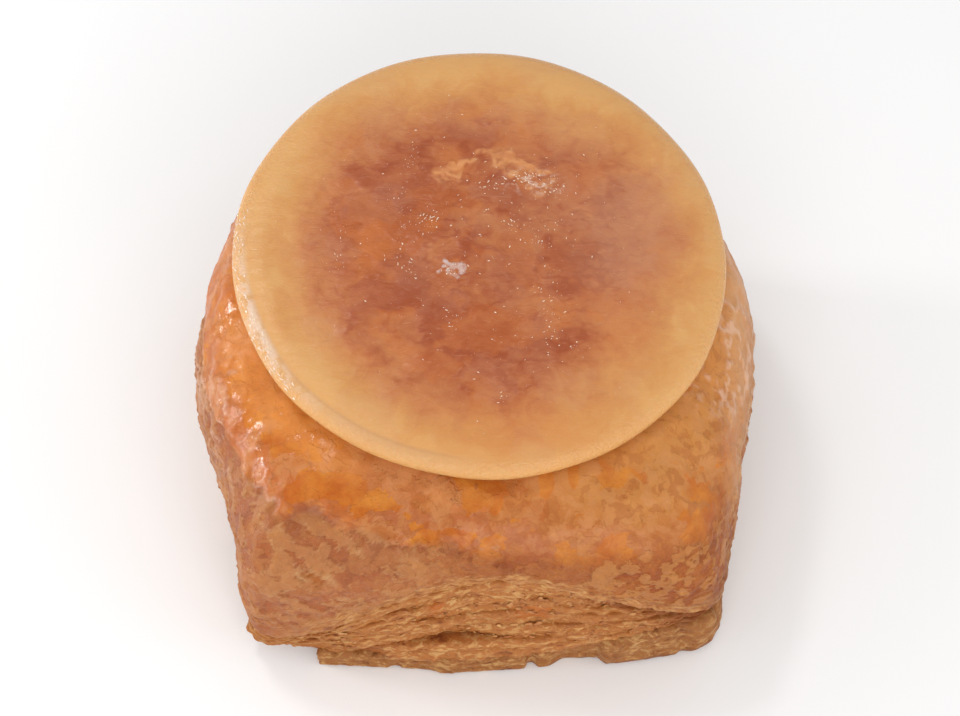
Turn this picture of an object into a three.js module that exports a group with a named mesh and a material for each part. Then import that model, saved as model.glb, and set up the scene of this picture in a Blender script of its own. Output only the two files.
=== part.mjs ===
// A Danish pastry: a square of laminated dough whose four sides puffed up in the oven, with a round of
// baked custard resting on its crown. Millimetres, +Z up. The origin is the middle of the flat base,
// and the front side faces -Y.
import * as THREE from "three";

const TURN = 2 * Math.PI;

// ---- The square of dough in plan

// The base is cut square with sharp corners; the crust above it is a little wider and rounder.
const FOOT = { halfSide: 43.6, cornerPower: 14 }; // half of a side before it swells, and the power of
const DOME = { halfSide: 44.2, cornerPower: 9 }; // the rounded square: a higher one is sharper
const SQUARE_TURN = THREE.MathUtils.degToRad(1.1); // the square lies a little skew
const SWELL_FALL = 1.05; // power at which a side's swelling dies away towards its corners
const SWELL_LEAN = 0.06; // the left and right sides swell most this far behind their middle, in radians
const LEAN_BLEND = [0.44, 0.62]; // squared cosines between which that lean comes in, near the corners
const CORNER_SOFTNESS = 0.003; // added to the squared fall, so that a corner has no crease
const SWELL_BUMP = { at: -0.165 * Math.PI, reach: 1.2, width: 0.12 }; // the right side, near the front

// Each side: how far it swells past the square, how high the crust's edge stands at its middle, how far
// that edge lies behind the base, how boxy the crust's shoulder is, and how far the crust swells over it.
const SIDES = {
  right: { swell: 6.2, lip: 14, setback: -0.4, shoulder: 4.3, crust: -0.3 },
  back: { swell: 4.8, lip: 24, setback: 2.5, shoulder: 4.2, crust: 1.0 },
  left: { swell: 6.9, lip: 14, setback: -0.2, shoulder: 3.6, crust: 0.8 },
  front: { swell: 2.6, lip: 25.7, setback: 3.1, shoulder: 3.6, crust: 0.0 },
};
const CRUST_BUMPS = [
  { at: 0.9 * Math.PI, reach: 1.7, width: 0.38 },
  { at: 0.1 * Math.PI, reach: 1.6, width: 0.23 },
];
const CORNER_SHOULDER = 4; // the same boxiness at the corners, where the crust runs down as a ridge

// ---- The edge of the dough, from the base upwards

// Each corner: the height of the crust's edge, and how far it and the leaves stand back.
const CORNERS = {
  backRight: { lip: 9.5, setback: 0.5 },
  backLeft: { lip: 9.5, setback: 0.5 },
  frontLeft: { lip: 9.5, setback: 0.1 },
  frontRight: { lip: 13.5, setback: 0.6 },
};
const LIP_LEAN = 0.05; // the puffed arches lean this far round the square, in radians
const LIP_FULLNESS = 0.35; // how broad an arch is: a smaller number gives a broader one
const SIDE_INSET = 1.2; // how far the base lies inside the crust along the right and left sides
const SHEET_THICKNESS = 4.2; // the bottom sheet, which lies flat
const SHEET_RISE = { at: -0.27 * Math.PI, reach: 5.3, width: 0.42 }; // it swelled at this corner
const BASE_ROUNDING = 1.2; // radius where the bottom sheet meets the surface below
const SHEET_BUMPS = [
  { at: -0.52 * Math.PI, reach: 0.8, width: 0.2 },
  { at: -0.36 * Math.PI, reach: 0.7, width: 0.18 },
  { at: -0.415 * Math.PI, reach: -1.6, width: 0.07 }, // torn where the blade dragged
];
const SHEET_CUT = { from: 1.13 * Math.PI, to: 1.304 * Math.PI, depth: 9 }; // it stops short of a corner
const SHEET_UNEVENNESS = 0.3; // how far its edge wanders in and out
const LEAVES = 6; // leaves of dough between the bottom sheet and the crust
const GROOVE = 1.2; // depth of the groove between two leaves
// Where leaves stand back: from which groove to which, counted from the bottom, and how far.
const POCKETS = [
  { first: 1, last: 2, at: -0.54 * Math.PI, reach: 2.6, width: 0.15 },
  { first: 0, last: 5, at: -0.262 * Math.PI, reach: 1.8, width: 0.13 },
  { first: 0, last: 5, at: -0.705 * Math.PI, reach: 1.7, width: 0.09 },
];
const LEAF_UNEVENNESS = 0.5; // how far a leaf's edge wanders in and out

// ---- The crown

const CROWN_HEIGHT = 45.4; // height of the crust over the middle of the base
const CROWN_SLOPE = 0.1; // it rises towards the back
const CROWN_WAVE = 0.5; // height of its broad waves
const WAVE_LENGTH = 19;

// ---- The custard round, in its own frame: middle of its underside, +Z up through it

const CUSTARD_RADIUS = 44.55;
const CUSTARD_RIM = 4.0; // thickness near the rim
const CUSTARD_CROWN = 1.2; // extra thickness in the middle
const CUSTARD_EDGE_WIDTH = 6.2; // rounding of the upper edge, inwards
const CUSTARD_EDGE_HEIGHT = 2.9; // and downwards
const CUSTARD_UNDER_EDGE = 0.9;
const CUSTARD_OUT_OF_ROUND = 0.3;
const CUSTARD_PLACE = new THREE.Vector3(0.1, 11.9, 47.0);
const CUSTARD_TILT = THREE.MathUtils.degToRad(5.9); // its front lies lower than its back
const CUSTARD_ROLL = THREE.MathUtils.degToRad(2.9); // and its right lower than its left
const SEAT_GAP = 0.35;
const SEAT_BLEND = 1.5; // how softly the crust flattens under the custard

// ---- Faces

const ROUND_STEPS = 112;
const CROWN_ROWS = 13;
const CUSTARD_STEPS = 72;
const CUSTARD_EDGE_ROWS = 5;

const lerp = THREE.MathUtils.lerp;

// A closed skin of rows that run round the Z axis, from a pole at the bottom to a pole at the top.
// pointAt(theta, row) gives each point, and the first and last rows are single points.
function skin(pointAt, rows, steps) {
  const positions = [];
  const faces = [];
  const ringStart = (row) => 1 + (row - 1) * steps;
  positions.push(...pointAt(0, 0));
  for (let row = 1; row < rows - 1; row++) {
    for (let step = 0; step < steps; step++) {
      positions.push(...pointAt((step / steps) * TURN, row));
    }
  }
  positions.push(...pointAt(0, rows - 1));
  const top = ringStart(rows - 1);
  for (let step = 0; step < steps; step++) {
    const next = (step + 1) % steps;
    faces.push(0, ringStart(1) + next, ringStart(1) + step);
    for (let row = 1; row < rows - 2; row++) {
      const a = ringStart(row) + step;
      const b = ringStart(row) + next;
      faces.push(a, b, b + steps, a, b + steps, a + steps);
    }
    faces.push(ringStart(rows - 2) + step, ringStart(rows - 2) + next, top);
  }
  const geometry = new THREE.BufferGeometry();
  geometry.setAttribute("position", new THREE.Float32BufferAttribute(positions, 3));
  geometry.setIndex(faces);
  geometry.computeVertexNormals();
  return geometry;
}

// ---- Dough

// Mixes four values round the square, right, back, left and front, by the squared cosine and sine.
function bySide(theta, right, back, left, front) {
  const across = Math.cos(theta) > 0 ? right : left;
  const along = Math.sin(theta) > 0 ? back : front;
  return across * Math.cos(theta) ** 2 + along * Math.sin(theta) ** 2;
}

// A value of SIDES, or of CORNERS, at an angle.
const ofSide = (theta, key) =>
  bySide(theta, SIDES.right[key], SIDES.back[key], SIDES.left[key], SIDES.front[key]);
const ofCorner = (theta, key) =>
  bySide(
    theta - TURN / 8,
    CORNERS.backRight[key], CORNERS.backLeft[key], CORNERS.frontLeft[key], CORNERS.frontRight[key],
  );

// 1 at the middle of a side and 0 at a corner.
const midSide = (theta, lean = 0) => Math.cos(2 * (theta - lean)) ** 2;

// A rounded bump in an outline: its full reach at bump.at, and gone about two widths away.
function bump(theta, { at, reach, width }) {
  const away = Math.atan2(Math.sin(theta - at), Math.cos(theta - at));
  return reach * Math.exp(-((away / width) ** 2));
}

// Slow, repeatable wandering between -1 and 1, different for each seed.
function wander(theta, seed) {
  return (
    0.45 * Math.sin(3 * theta + 2.1 * seed) +
    0.33 * Math.sin(7 * theta + 4.7 * seed + 1) +
    0.22 * Math.sin(13 * theta + 1.3 * seed + 2)
  );
}

// Eased step: 0 below low, 1 above high, either way round.
function smoothStep(low, high, value) {
  const share = THREE.MathUtils.clamp((value - low) / (high - low), 0, 1);
  return share * share * (3 - 2 * share);
}

// 1 along the right and left sides, 0 along the front and the back.
const sideShare = (theta) => smoothStep(0.5, 0.65, Math.cos(theta) ** 2);

// Distance from the middle to the dough's widest outline, with the foot's corners or the dome's.
function outline(theta, { halfSide, cornerPower } = FOOT) {
  const across = Math.abs(Math.cos(theta));
  const along = Math.abs(Math.sin(theta));
  const square = halfSide / (across ** cornerPower + along ** cornerPower) ** (1 / cornerPower);
  const lean = SWELL_LEAN * Math.sign(Math.cos(theta)) * smoothStep(...LEAN_BLEND, Math.cos(theta) ** 2);
  const fall = (midSide(theta, lean) + CORNER_SOFTNESS) ** (SWELL_FALL / 2);
  return square + ofSide(theta, "swell") * fall + bump(theta, SWELL_BUMP);
}

function sheetOutline(theta) {
  const turn = (theta + TURN) % TURN;
  const cut =
    smoothStep(SHEET_CUT.from - 0.09, SHEET_CUT.from + 0.09, turn) *
    smoothStep(SHEET_CUT.to + 0.02, SHEET_CUT.to - 0.02, turn);
  return (
    SHEET_BUMPS.reduce((radius, each) => radius + bump(theta, each), outline(theta)) +
    SHEET_UNEVENNESS * wander(theta, 9) -
    SIDE_INSET * sideShare(theta) -
    SHEET_CUT.depth * cut
  );
}

const sheetTop = (theta) => SHEET_THICKNESS + bump(theta, SHEET_RISE);

// The arch of the crust's edge along a side: 0 at a corner, 1 at the middle.
function arch(theta) {
  const share = midSide(theta, LIP_LEAN);
  return (share * (1 + LIP_FULLNESS)) / (share + LIP_FULLNESS);
}

const lipHeight = (theta) => lerp(ofCorner(theta, "lip"), ofSide(theta, "lip"), arch(theta));

const cornerSetback = (theta) => ofCorner(theta, "setback") * (1 - midSide(theta, LIP_LEAN));

const lipOutline = (theta, square) =>
  outline(theta, square) -
  ofSide(theta, "setback") * midSide(theta, LIP_LEAN) -
  cornerSetback(theta);

const doughPoint = (theta, radius, height) => [
  radius * Math.cos(theta + SQUARE_TURN),
  radius * Math.sin(theta + SQUARE_TURN),
  height,
];

// Height of the plane of the custard's underside.
const custardTurn = new THREE.Euler(CUSTARD_TILT, CUSTARD_ROLL, 0);
const custardUp = new THREE.Vector3(0, 0, 1).applyEuler(custardTurn);
function seatHeight(x, y) {
  const fall = custardUp.x * (x - CUSTARD_PLACE.x) + custardUp.y * (y - CUSTARD_PLACE.y);
  return CUSTARD_PLACE.z - fall / custardUp.z;
}

// The lower of two heights, rounded over where they meet.
function softMin(a, b, blend) {
  const share = THREE.MathUtils.clamp(0.5 + (0.5 * (b - a)) / blend, 0, 1);
  return lerp(b, a, share) - blend * share * (1 - share);
}

// The crust: a boxy dome that springs from the lip (t = 0) and closes over the middle (t = 1).
function crustPoint(theta, t) {
  const power = lerp(CORNER_SHOULDER, ofSide(theta, "shoulder"), midSide(theta));
  const inwards = Math.cos((t * Math.PI) / 2) ** (2 / power);
  const upwards = Math.sin((t * Math.PI) / 2) ** (2 / power);
  const swell =
    CRUST_BUMPS.reduce((sum, each) => sum + bump(theta, each), ofSide(theta, "crust")) *
    Math.sin(Math.PI * Math.min(1, 1.6 * t));
  const edge = lerp(lipOutline(theta, FOOT), lipOutline(theta, DOME), smoothStep(0, 0.25, t));
  const radius = t < 1 ? edge * inwards + swell : 0;
  const [x, y] = doughPoint(theta, radius, 0);
  const wave =
    CROWN_WAVE * Math.sin((TURN * x) / WAVE_LENGTH + 1) * Math.cos((TURN * y) / WAVE_LENGTH);
  const dome = lerp(lipHeight(theta), CROWN_HEIGHT + CROWN_SLOPE * y + wave, upwards);
  return [x, y, softMin(dome, seatHeight(x, y) - SEAT_GAP, SEAT_BLEND)];
}

// The edge below the crust: the bottom sheet, then the leaves, each a ledge with a groove over it.
const SHEET_ROWS = 5;
const LEAF_ROWS = 3;
const EDGE_ROWS = SHEET_ROWS + LEAVES * LEAF_ROWS;
function edgePoint(theta, row) {
  const leafReach = (share, groove) => {
    const pockets = POCKETS.filter(({ first, last }) => groove >= first && groove <= last);
    return pockets.reduce(
      (reach, pocket) => reach - bump(theta, pocket),
      lerp(outline(theta), lipOutline(theta), share) -
        cornerSetback(theta) -
        (SIDE_INSET + 0.5) * sideShare(theta),
    );
  };
  const sheet = sheetOutline(theta);
  const top = sheetTop(theta);
  if (row < SHEET_ROWS) {
    const [radius, height] = [
      [sheet - BASE_ROUNDING, 0],
      [sheet, BASE_ROUNDING],
      [sheet, top * 0.55],
      [sheet - 0.4, top * 0.8],
      [Math.min(sheet, leafReach(0, 0)) - GROOVE, top],
    ][row];
    return doughPoint(theta, radius, height);
  }
  const leaf = Math.floor((row - SHEET_ROWS) / LEAF_ROWS);
  const part = (row - SHEET_ROWS) % LEAF_ROWS;
  if (part === 2 && leaf === LEAVES - 1) {
    return doughPoint(theta, lipOutline(theta, FOOT), lipHeight(theta));
  }
  const share = (leaf + [0.12, 0.6, 1][part]) / LEAVES; // its lower and upper edge, the groove over it
  const height = lerp(top, lipHeight(theta) - 0.8, share);
  if (part === 2) {
    return doughPoint(theta, leafReach(share, leaf) - GROOVE, height);
  }
  const uneven = LEAF_UNEVENNESS * wander(theta, leaf) * midSide(theta);
  return doughPoint(theta, leafReach(share, leaf) + uneven, height);
}

function doughGeometry() {
  const rows = 1 + EDGE_ROWS + CROWN_ROWS;
  const pointAt = (theta, row) => {
    if (row === 0) return [0, 0, 0];
    if (row <= EDGE_ROWS) return edgePoint(theta, row - 1);
    return crustPoint(theta, (row - EDGE_ROWS) / CROWN_ROWS);
  };
  return skin(pointAt, rows + 1, ROUND_STEPS);
}

// ---- Custard round

function custardPoint(theta, row) {
  const round = CUSTARD_RADIUS + CUSTARD_OUT_OF_ROUND * wander(theta, 5);
  const underEdge = [
    [0, 0],
    [round - CUSTARD_UNDER_EDGE, 0],
    [round, CUSTARD_UNDER_EDGE],
  ];
  let [radius, height] = underEdge[Math.min(row, 2)];
  const edgeRow = row - underEdge.length;
  if (edgeRow >= 0 && edgeRow < CUSTARD_EDGE_ROWS) {
    const angle = ((edgeRow / (CUSTARD_EDGE_ROWS - 1)) * Math.PI) / 2;
    radius = round - CUSTARD_EDGE_WIDTH * (1 - Math.cos(angle));
    height = CUSTARD_RIM - CUSTARD_EDGE_HEIGHT * (1 - Math.sin(angle));
  } else if (edgeRow >= CUSTARD_EDGE_ROWS) {
    const share = [0.8, 0.6, 0.3, 0][edgeRow - CUSTARD_EDGE_ROWS];
    radius = round * share;
    height = CUSTARD_RIM + CUSTARD_CROWN * (1 - share ** 2) ** 2;
  }
  return [radius * Math.cos(theta), radius * Math.sin(theta), height];
}

const custardGeometry = () => skin(custardPoint, 3 + CUSTARD_EDGE_ROWS + 4, CUSTARD_STEPS);

// ---- The pastry

const pastry = new THREE.Group();

const dough = new THREE.Mesh(
  doughGeometry(),
  new THREE.MeshStandardMaterial({ color: "#c07a45", roughness: 0.5, metalness: 0 }),
);
dough.name = "laminated_dough";
pastry.add(dough);

const custard = new THREE.Mesh(
  custardGeometry(),
  new THREE.MeshStandardMaterial({ color: "#d49a62", roughness: 0.3, metalness: 0 }),
);
custard.name = "custard_round";
custard.position.copy(CUSTARD_PLACE);
custard.rotation.copy(custardTurn);
pastry.add(custard);

export default pastry;
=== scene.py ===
from math import pi, radians

import bpy
import numpy as np
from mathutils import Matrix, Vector


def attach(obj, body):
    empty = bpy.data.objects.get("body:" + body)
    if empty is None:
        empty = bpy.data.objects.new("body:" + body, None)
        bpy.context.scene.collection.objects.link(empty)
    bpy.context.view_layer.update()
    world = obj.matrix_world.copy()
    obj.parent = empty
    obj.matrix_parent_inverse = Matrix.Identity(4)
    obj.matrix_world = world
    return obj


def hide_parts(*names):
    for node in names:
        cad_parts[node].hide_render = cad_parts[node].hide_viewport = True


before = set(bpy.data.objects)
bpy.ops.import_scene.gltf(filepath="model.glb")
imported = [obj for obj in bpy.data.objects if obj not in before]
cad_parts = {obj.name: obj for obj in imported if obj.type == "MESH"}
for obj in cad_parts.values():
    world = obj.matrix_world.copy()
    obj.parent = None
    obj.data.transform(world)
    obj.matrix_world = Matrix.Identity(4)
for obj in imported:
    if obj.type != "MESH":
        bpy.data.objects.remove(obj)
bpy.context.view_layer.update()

MM = 0.001


# ---- The table, the light and the camera
# A pale matt table top in a white light tent. A small window light low on the left draws the highlights;
# a faint one high up and two broad screens, in front and on the right, keep the shadows soft.

TABLE_HALF = 1.5
TABLE_POINTS = 9  # along each side
TABLE_DROP = 0.0001
TABLE_HEX = "#fbfbfb"
TABLE_GRAIN_HEX = "#fdfdfd"
TENT_HEX = "#ffffff"
TENT_STRENGTH = 0.66


def linear(hex_colour):
    """An sRGB hex colour as linear red, green, blue and alpha: the sRGB curve undone channel by channel."""
    srgb = np.array([int(hex_colour[k:k + 2], 16) for k in (1, 3, 5)]) / 255
    flat = np.where(srgb <= 0.04045, srgb / 12.92, ((srgb + 0.055) / 1.055) ** 2.4)
    return (*flat.tolist(), 1.0)


def plug(tree, made, inputs):
    """Fills a node's input sockets, given by name or number: a number or colour is set on the socket itself,
    and an output, or a node for its first output, is linked to it."""
    for socket, value in inputs.items():
        if isinstance(value, bpy.types.Node):
            value = value.outputs[0]
        if isinstance(value, bpy.types.NodeSocket):
            tree.links.new(value, made.inputs[socket])
        else:
            made.inputs[socket].default_value = value


def node(tree, kind, inputs=None, stops=(), **settings):
    """Adds a node with its settings and inputs. Its kind is Blender's own name for it after "ShaderNode";
    stops are a colour ramp's levels and colours, in order."""
    made = tree.nodes.new("ShaderNode" + kind)
    for key, value in settings.items():
        setattr(made, key, value)
    plug(tree, made, inputs or {})
    if stops:
        ramp = made.color_ramp.elements
        ramp[0].position, ramp[1].position = stops[0][0], stops[-1][0]
        for level, _ in stops[1:-1]:
            ramp.new(level)
        for stop, (_, hex_colour) in zip(ramp, stops):
            stop.color = linear(hex_colour)
    return made


def new_material(name, mark_names=()):
    """An empty node material: the material, its tree, the surface shader that it ends in, and an output for
    each named mark of the mesh."""
    made = bpy.data.materials.new(name)
    made.use_nodes = True
    tree = made.node_tree
    marks = {mark: node(tree, "Attribute", attribute_name=mark).outputs["Fac"]
             for mark in mark_names}
    return made, tree, tree.nodes["Principled BSDF"], marks


table_mat, tree, shader, _ = new_material("matt_table_laminate")
grain = node(tree, "TexNoise", {"Scale": 60.0, "Detail": 2.0})
table_tone = node(tree, "Mix", {0: grain, 6: linear(TABLE_HEX), 7: linear(TABLE_GRAIN_HEX)},
                  data_type="RGBA")
plug(tree, shader, {"Base Color": table_tone.outputs[2], "Roughness": 0.8})

side = np.linspace(-TABLE_HALF, TABLE_HALF, TABLE_POINTS)
table_x, table_y = np.meshgrid(side, side)
corner = np.arange(TABLE_POINTS**2 - TABLE_POINTS).reshape(-1, TABLE_POINTS)[:, :-1].ravel()
table_mesh = bpy.data.meshes.new("table_top")
table_mesh.from_pydata(
    np.stack([table_x.ravel(), table_y.ravel(), np.full(table_x.size, -TABLE_DROP)], 1).tolist(), [],
    np.stack([corner, corner + 1, corner + TABLE_POINTS + 1, corner + TABLE_POINTS], 1).tolist())
table_top = bpy.data.objects.new("table_top", table_mesh)
bpy.context.collection.objects.link(table_top)
table_mesh.materials.append(table_mat)

tent = bpy.data.worlds.new("light_tent")
tent.use_nodes = True
plug(tent.node_tree, tent.node_tree.nodes["Background"],
     {"Color": linear(TENT_HEX), "Strength": TENT_STRENGTH})
bpy.context.scene.world = tent
bpy.context.scene.view_settings.view_transform = "Standard"

LIGHTS_AIM = Vector((0.0, 0.0, 0.03))
SOFTBOXES = (  # name, place, width and height in metres, watts
    ("window_left", (-0.62, 0.10, 0.16), 0.12, 0.09, 1.55),
    ("window_high", (-0.22, 0.22, 0.62), 0.10, 0.08, 0.5),
    ("front_screen", (0.05, -0.60, 0.36), 0.60, 0.40, 2.0),
    ("bounce_right", (0.60, -0.25, 0.34), 0.50, 0.40, 0.6))
for name, at, width, height, watts in SOFTBOXES:
    lamp = bpy.data.lights.new(name, "AREA")
    lamp.shape = "RECTANGLE"
    lamp.size, lamp.size_y, lamp.energy = width, height, watts
    holder = bpy.data.objects.new(name, lamp)
    bpy.context.collection.objects.link(holder)
    holder.location = at
    holder.rotation_euler = (LIGHTS_AIM - Vector(at)).to_track_quat("-Z", "Y").to_euler()

CAMERA_ELEVATION = radians(55)
CAMERA_DISTANCE = 0.530
CAMERA_AIM = np.array([0.0, 0.0086, 0.021])
camera_data = bpy.data.cameras.new("camera")
camera_data.lens = 106
camera_data.sensor_width = 36
camera = bpy.data.objects.new("camera", camera_data)
bpy.context.collection.objects.link(camera)
camera.location = CAMERA_AIM + CAMERA_DISTANCE * np.array(
    [0, -np.cos(CAMERA_ELEVATION), np.sin(CAMERA_ELEVATION)])
camera.rotation_euler = (pi / 2 - CAMERA_ELEVATION, 0, 0)
bpy.context.scene.camera = camera


# ---- The bottom sheet
# The lowest sheet of laminated dough, rolled of butter and wheat dough and cut square with a blade. It
# bakes flat on the tray, its edge torn and crumbly where it was cut.

FOOT_HALF_SIDE = 43.6
FOOT_CORNER_POWER = 14.0
SQUARE_TURN = radians(1.1)
SWELL = dict(right=6.2, back=4.8, left=6.9, front=2.6)
SWELL_FALL = 1.05
SWELL_LEAN = 0.06
LEAN_BLEND = (0.44, 0.62)
CORNER_SOFTNESS = 0.003
SHEET_THICKNESS = 4.2
SIDE_INSET = 1.2
# a swelling is its angle, its reach in mm and its width in radians
RIGHT_BELLY = (-0.165 * pi, 1.2, 0.12)
FRONT_BELLIES = ((-0.52 * pi, 0.8, 0.2), (-0.36 * pi, 0.7, 0.18))
THICK_CORNER = (-0.27 * pi, 5.3, 0.42)
# the front left corner is cut back: how far in mm, and the angles over which the cut sets in and ends
CORNER_CUT = 9.0
CORNER_CUT_FROM, CORNER_CUT_TO = (1.10 * pi, 1.16 * pi), (1.311 * pi, 1.297 * pi)
SHEET_TEARS = [  # along X from and to, how deep, and how long its two slopes are, in mm
    (7.6, 9.4, 1.2, 0.5, 0.6), (13.4, 21.8, 1.9, 2.4, 0.6), (35.5, 37.5, 0.6, 0.8, 0.8),
    (-17.5, -15.5, 0.5, 0.8, 0.8)]
EDGE_STEPS = 900
SYRUP_HEX = "#b3601e"
LATTICE = 32


def by_side(theta, right, back, left, front):
    """One value for each side, mixed round the square by the squared cosine and sine of the angle."""
    across = np.where(np.cos(theta) > 0, right, left) * np.cos(theta) ** 2
    return across + np.where(np.sin(theta) > 0, back, front) * np.sin(theta) ** 2


def by_corner(theta, back_right, back_left, front_left, front_right):
    """One value for each corner, mixed in the same way an eighth of a turn further round."""
    return by_side(theta - pi / 4, back_right, back_left, front_left, front_right)


def mid_side(theta, lean=0.0):
    """1 at the middle of a side and 0 at a corner: the squared cosine of twice the angle."""
    return np.cos(2 * (theta - lean)) ** 2


def bell(away, width):
    """1 at no distance, falling on both sides: e to the minus squared distance over width."""
    return np.exp(-((away / width) ** 2))


def bump(theta, at, reach, width):
    """A bell of the given reach round one angle."""
    return reach * bell(np.arctan2(np.sin(theta - at), np.cos(theta - at)), width)


def smooth_step(low, high, value):
    """0 below low, 1 above high, and an eased cubic between them."""
    share = np.clip((value - low) / (high - low), 0, 1)
    return share * share * (3 - 2 * share)


def wander(theta, seed):
    """Slow wandering of -1 to 1 round the square: three sines of different counts."""
    return (0.45 * np.sin(3 * theta + 2.1 * seed) + 0.33 * np.sin(7 * theta + 4.7 * seed + 1)
            + 0.22 * np.sin(13 * theta + 1.3 * seed + 2))


def cloud(points, cell, seed, octaves=3):
    """Smooth noise of about -1 to 1: seeded values on a cubic lattice of the given cell in mm, blended with
    eased weights; every further octave halves the cell and its share."""
    lattice = np.random.RandomState(seed).uniform(-1, 1, (LATTICE,) * 3)
    total = np.zeros(points.shape[:-1])
    for octave in range(octaves):
        place = points / cell * 2**octave + 7.3 * octave + 100
        low = np.floor(place).astype(int)
        share = place - low
        share = share * share * (3 - 2 * share)
        for corner_of_cell in np.ndindex(2, 2, 2):
            weight = np.prod(np.where(corner_of_cell, share, 1 - share), axis=-1)
            a, b, c = np.moveaxis((low + corner_of_cell) % LATTICE, -1, 0)
            total += lattice[a, b, c] * weight * 0.55**octave
    return total * 1.3


def outline(theta, half_side=FOOT_HALF_SIDE, power=FOOT_CORNER_POWER):
    """The widest outline in plan: a rounded square of high power, plus each side's swelling, which dies
    away towards the corners as a power of the mid-side share."""
    across, along = np.abs(np.cos(theta)), np.abs(np.sin(theta))
    square = half_side / (across**power + along**power) ** (1 / power)
    lean = SWELL_LEAN * np.sign(np.cos(theta)) * smooth_step(*LEAN_BLEND, np.cos(theta) ** 2)
    swell = by_side(theta, **SWELL) * (mid_side(theta, lean) + CORNER_SOFTNESS) ** (SWELL_FALL / 2)
    return square + swell + bump(theta, *RIGHT_BELLY)


def side_share(theta):
    """1 along the right and left sides, 0 along the front and the back, eased close to the corners."""
    return smooth_step(0.5, 0.65, np.cos(theta) ** 2)


def place(theta, radius, height):
    """Polar sizes round the dough's middle as points in mm, with the square's skew turn."""
    turned = theta + SQUARE_TURN
    return np.stack(np.broadcast_arrays(
        radius * np.cos(turned), radius * np.sin(turned), height), axis=-1)


def front_dense(steps, pull=0.3):
    """Angles round the square, closer together at the front: an even turn less a sine about the front."""
    even = np.linspace(0, 2 * pi, steps, endpoint=False)
    return even - pull * np.sin(even + pi / 2)


def outward(grid):
    """Unit normals of a grid of rows that run round: the cross product of its two differences."""
    along = np.roll(grid, -1, axis=1) - np.roll(grid, 1, axis=1)
    normal = np.cross(along, np.gradient(grid, axis=0))
    return normal / (np.linalg.norm(normal, axis=-1, keepdims=True) + 1e-9)


def grid_faces(rows, steps, first=0, wrap_rows=False):
    """Quads between neighbouring rows that run round; with wrap_rows the last row meets the first."""
    row, step = np.meshgrid(np.arange(rows - (not wrap_rows)), np.arange(steps), indexing="ij")
    above, beside = (row + 1) % rows, (step + 1) % steps
    corners = [row * steps + step, row * steps + beside, above * steps + beside, above * steps + step]
    return first + np.stack(corners, -1).reshape(-1, 4)


def pole_faces(rows, steps):
    """Triangles that close a skin of rows at a point past the first row and a point past the last."""
    step = np.arange(steps)
    beside = (step + 1) % steps
    top = (rows - 1) * steps
    return np.concatenate([
        np.stack([beside, step, np.full(steps, rows * steps)], -1),
        np.stack([top + step, top + beside, np.full(steps, rows * steps + 1)], -1)])


def new_piece(name, points_mm, quads, tris, material, slot, **marks):
    """Puts arrays of points, four-sided and three-sided faces and point marks into a smooth mesh piece."""
    mesh = bpy.data.meshes.new(name)
    mesh.vertices.add(len(points_mm))
    mesh.vertices.foreach_set("co", (points_mm * MM).astype(np.float32).ravel())
    corners = np.concatenate([quads.ravel(), tris.ravel()]).astype(np.int32)
    sizes = np.concatenate([np.full(len(quads), 4), np.full(len(tris), 3)])
    mesh.loops.add(len(corners))
    mesh.loops.foreach_set("vertex_index", corners)
    mesh.polygons.add(len(sizes))
    mesh.polygons.foreach_set("loop_start", (np.cumsum(sizes) - sizes).astype(np.int32))
    mesh.polygons.foreach_set("use_smooth", np.ones(len(sizes), bool))
    for mark, values in marks.items():
        mesh.attributes.new(mark, "FLOAT", "POINT").data.foreach_set(
            "value", np.ascontiguousarray(values, np.float32).ravel())
    mesh.update(calc_edges=True)
    mesh.validate()
    mesh.materials.append(material)
    piece = bpy.data.objects.new(name, mesh)
    bpy.context.collection.objects.link(piece)
    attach(piece, "root")
    return piece


def skin_piece(name, grid, material, slot, **marks):
    """A closed skin: rows that run round, with a single point at the first and the last row's middle."""
    rows, steps = grid.shape[:2]
    points = np.concatenate([grid.reshape(-1, 3), grid[:1].mean(1), grid[-1:].mean(1)])
    marks = {key: np.concatenate([value.ravel(), value[:1].mean(1), value[-1:].mean(1)])
             for key, value in marks.items()}
    return new_piece(name, points, grid_faces(rows, steps), pole_faces(rows, steps), material, slot, **marks)


def leaf_streaks(tree, where, level, drawn_out):
    """Noise drawn out along the leaves of dough: plan position, and the level, the height in the pile, in
    which a millimetre counts for as many as 'drawn_out' says. A streak is about 2 mm long."""
    plan = node(tree, "SeparateXYZ", {0: where})
    raised = node(tree, "Math", {0: level, 1: drawn_out * MM}, operation="MULTIPLY")
    along = node(tree, "CombineXYZ", {0: plan.outputs[0], 1: plan.outputs[1], 2: raised})
    return node(tree, "TexNoise", {
        "Vector": along, "Scale": 420.0, "Detail": 5.0, "Roughness": 0.66, "Distortion": 0.7})


def painted(tree, under, *layers):
    """Lays tones over one another. A layer is its hex colour or an output, the output that shows where it
    lies, the most that it covers, and the levels of that output where it starts and is full, else 0 and 1."""
    for tone, shown, most, *levels in layers:
        start, full = levels or (0.0, 1.0)
        share = node(tree, "MapRange", {0: shown, 1: start, 2: full, 3: 0.0, 4: most})
        tone = linear(tone) if isinstance(tone, str) else tone
        under = node(tree, "Mix", {0: share, 6: under, 7: tone}, data_type="RGBA").outputs[2]
    return under


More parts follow.
